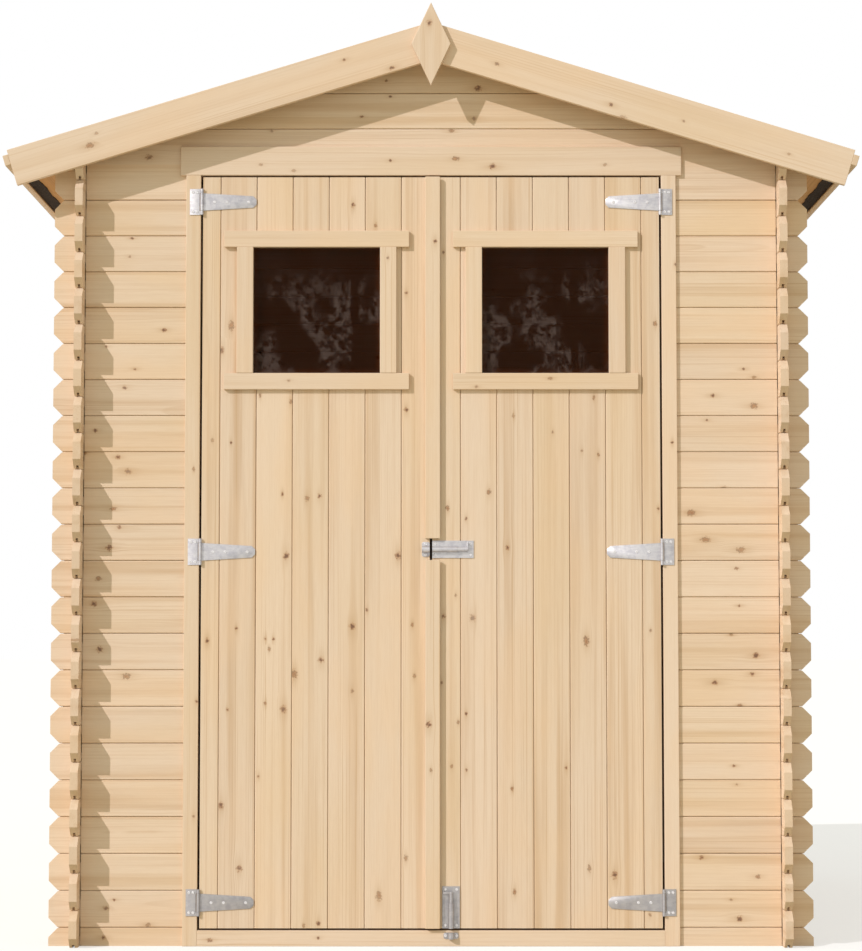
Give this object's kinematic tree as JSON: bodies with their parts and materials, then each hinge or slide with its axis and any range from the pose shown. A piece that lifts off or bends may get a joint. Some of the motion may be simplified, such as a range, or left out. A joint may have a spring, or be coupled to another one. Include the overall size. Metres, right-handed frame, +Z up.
{
  "type": "wooden garden shed",
  "caption": "Wooden garden shed of interlocking boards with a glazed double door and a felted pitched roof.",
  "frame": {"origin": "on the ground in the middle of the shed", "axes": "+Z up, +X along the front wall to the right as seen from outside, +Y from the doors to the back wall"},
  "size_m": [2.0726, 1.956, 2.2734],
  "materials": {
    "wall_boards": "planed, unpainted",
    "door_boards": "planed, unpainted",
    "planed_trim": "planed, unpainted",
    "sawn_boards": "sawn, unpainted",
    "roofing_felt": "mineral felt, matt",
    "window_glass": "clear",
    "galvanised_steel": "zinc plated, satin"
  },
  "bodies": {
    "shed": {"front_wall_left": "wall_boards", "front_wall_right": "wall_boards", "front_gable": "wall_boards", "back_wall": "wall_boards", "left_wall": "wall_boards", "right_wall": "wall_boards", "door_jamb_left": "planed_trim", "door_jamb_right": "planed_trim", "door_head": "planed_trim", "door_threshold": "planed_trim", "floor_joists": "sawn_boards", "floor_boards": "sawn_boards", "ridge_purlin": "sawn_boards", "roof_boards_left": "sawn_boards", "roof_boards_right": "sawn_boards", "roof_felt": "roofing_felt", "bargeboard_front_left": "planed_trim", "bargeboard_front_right": "planed_trim", "bargeboard_back_left": "planed_trim", "bargeboard_back_right": "planed_trim", "finial_front": "planed_trim", "finial_back": "planed_trim", "eave_lath_left": "planed_trim", "eave_lath_right": "planed_trim", "left_hinge_plates": "galvanised_steel", "right_hinge_plates": "galvanised_steel", "threshold_keeper": "galvanised_steel"},
    "left_leaf": {"left_door_panel": "door_boards", "left_door_ledges": "door_boards", "left_window_rails": "planed_trim", "left_window_stiles": "planed_trim", "left_window_glass": "window_glass", "left_hinge_straps": "galvanised_steel", "meeting_strip": "planed_trim", "bolt_keeper": "galvanised_steel"},
    "right_leaf": {"right_door_panel": "door_boards", "right_door_ledges": "door_boards", "right_window_rails": "planed_trim", "right_window_stiles": "planed_trim", "right_window_glass": "window_glass", "right_hinge_straps": "galvanised_steel", "middle_bolt_plate": "galvanised_steel", "bottom_bolt_plate": "galvanised_steel"},
    "middle_rod": {"middle_bolt_rod": "galvanised_steel"},
    "bottom_rod": {"bottom_bolt_rod": "galvanised_steel"}
  },
  "joints": [
    {"name": "left_door", "type": "hinge", "parent": "shed", "child": "left_leaf", "pos_m": [-0.55825, -0.906, 0.951], "axis": [0, 0, -1], "range_deg": [0, 150]},
    {"name": "right_door", "type": "hinge", "parent": "shed", "child": "right_leaf", "pos_m": [0.55825, -0.906, 0.951], "axis": [0, 0, 1], "range_deg": [0, 150]},
    {"name": "middle_bolt", "type": "slide", "parent": "right_leaf", "child": "middle_rod", "axis": [-1, 0, 0], "range_m": [0, 0.022]},
    {"name": "bottom_bolt", "type": "slide", "parent": "right_leaf", "child": "bottom_rod", "axis": [0, 0, -1], "range_m": [0, 0.022]}
  ],
  "couplings": [
    {"joint": "right_door", "follows": "left_door", "ratio": 1}
  ]
}
